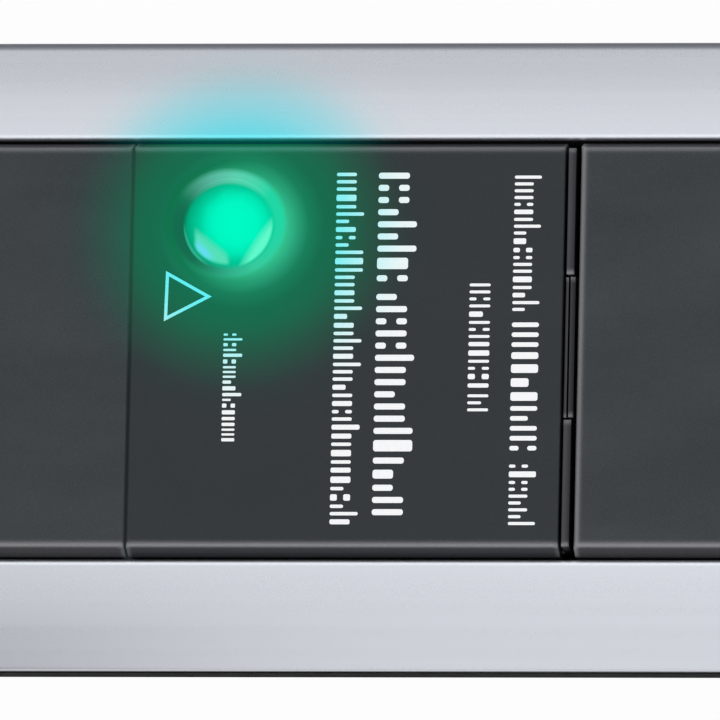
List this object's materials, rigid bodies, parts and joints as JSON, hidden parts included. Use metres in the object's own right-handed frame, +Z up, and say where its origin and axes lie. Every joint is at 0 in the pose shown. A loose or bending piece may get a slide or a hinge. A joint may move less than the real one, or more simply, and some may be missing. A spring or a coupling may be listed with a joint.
{
  "type": "surge protector power strip",
  "caption": "Long power strip with satin silver rails over a black base, rocker switch, surge arrester with green indicator lens, and angled earthed sockets.",
  "frame": {"origin": "centre of the strip's footprint, on the surface that its feet stand on", "axes": "+X along the strip, away from the cable inlet; +Y to the rear edge, which hangs uppermost on a wall; +Z up"},
  "size_m": [0.3928, 0.072, 0.046],
  "materials": {
    "base_black": "fine satin moulding",
    "rail_silver": "satin, bead blasted and anodised",
    "cover_black": "fine spark-eroded texture",
    "surge_face": "smooth satin, printed in white",
    "switch_black": "satin",
    "rubber": "matte",
    "insulator_white": "matte",
    "shutter_grey": "matte",
    "steel": "zinc plated",
    "brass": "stamped strip",
    "lens_green": "polished, lit from behind",
    "led_clear": "clear",
    "board_green": "solder mask",
    "varistor_blue": "epoxy coated",
    "gas_tube_ceramic": "unglazed",
    "capacitor_yellow": "moulded",
    "wire_brown": "insulation",
    "wire_blue": "insulation",
    "wire_green": "insulation"
  },
  "bodies": {
    "housing": {"base_tray": "base_black", "rail_front": "rail_silver", "rail_rear": "rail_silver", "end_cap_left": "base_black", "end_cap_right": "base_black", "switch_cover": "cover_black", "surge_cover": "surge_face", "contact_carrier": "insulator_white", "cable_gland": "rubber", "socket_module_1": "cover_black", "socket_module_2": "cover_black", "socket_module_3": "cover_black", "socket_module_4": "cover_black", "socket_module_5": "cover_black", "shutter_spring_1": "steel", "shutter_spring_2": "steel", "shutter_spring_3": "steel", "shutter_spring_4": "steel", "shutter_spring_5": "steel", "live_busbar": "brass", "neutral_busbar": "brass", "earth_bar": "brass", "lens": "lens_green", "indicator_led": "led_clear", "surge_board": "board_green", "varistor_1": "varistor_blue", "varistor_2": "varistor_blue", "varistor_3": "varistor_blue", "thermal_fuse": "steel", "gas_tube": "gas_tube_ceramic", "capacitor": "capacitor_yellow", "terminal_block": "insulator_white", "switch_body": "switch_black", "switch_tab_1": "brass", "switch_tab_2": "brass", "switch_tab_3": "brass", "switch_tab_4": "brass", "live_supply_wire": "wire_brown", "neutral_supply_wire": "wire_blue", "live_switched_wire": "wire_brown", "neutral_switched_wire": "wire_blue", "earth_wire": "wire_green", "foot_1": "rubber", "foot_2": "rubber", "foot_3": "rubber", "foot_4": "rubber", "module_screws": "steel", "cap_screws": "steel", "board_screws": "steel"},
    "rocker": {"rocker": "switch_black"},
    "shutter_1": {"shutter_1": "shutter_grey"},
    "shutter_2": {"shutter_2": "shutter_grey"},
    "shutter_3": {"shutter_3": "shutter_grey"},
    "shutter_4": {"shutter_4": "shutter_grey"},
    "shutter_5": {"shutter_5": "shutter_grey"}
  },
  "joints": [
    {"name": "rocker_tilt", "type": "hinge", "parent": "housing", "child": "rocker", "pos_m": [-0.16045, 0, 0.0395], "axis": [0, 1, 0], "range_deg": [-14, 0]},
    {"name": "shutter_1_slide", "type": "slide", "parent": "housing", "child": "shutter_1", "axis": [-0.7071, 0.7071, 0], "range_m": [0, 0.0065], "stiffness_N_per_m": 40, "springref_m": -0.004, "deforming": ["shutter_spring_1"]},
    {"name": "shutter_2_slide", "type": "slide", "parent": "housing", "child": "shutter_2", "axis": [-0.7071, 0.7071, 0], "range_m": [0, 0.0065], "stiffness_N_per_m": 40, "springref_m": -0.004, "deforming": ["shutter_spring_2"]},
    {"name": "shutter_3_slide", "type": "slide", "parent": "housing", "child": "shutter_3", "axis": [-0.7071, 0.7071, 0], "range_m": [0, 0.0065], "stiffness_N_per_m": 40, "springref_m": -0.004, "deforming": ["shutter_spring_3"]},
    {"name": "shutter_4_slide", "type": "slide", "parent": "housing", "child": "shutter_4", "axis": [-0.7071, 0.7071, 0], "range_m": [0, 0.0065], "stiffness_N_per_m": 40, "springref_m": -0.004, "deforming": ["shutter_spring_4"]},
    {"name": "shutter_5_slide", "type": "slide", "parent": "housing", "child": "shutter_5", "axis": [-0.7071, 0.7071, 0], "range_m": [0, 0.0065], "stiffness_N_per_m": 40, "springref_m": -0.004, "deforming": ["shutter_spring_5"]}
  ]
}
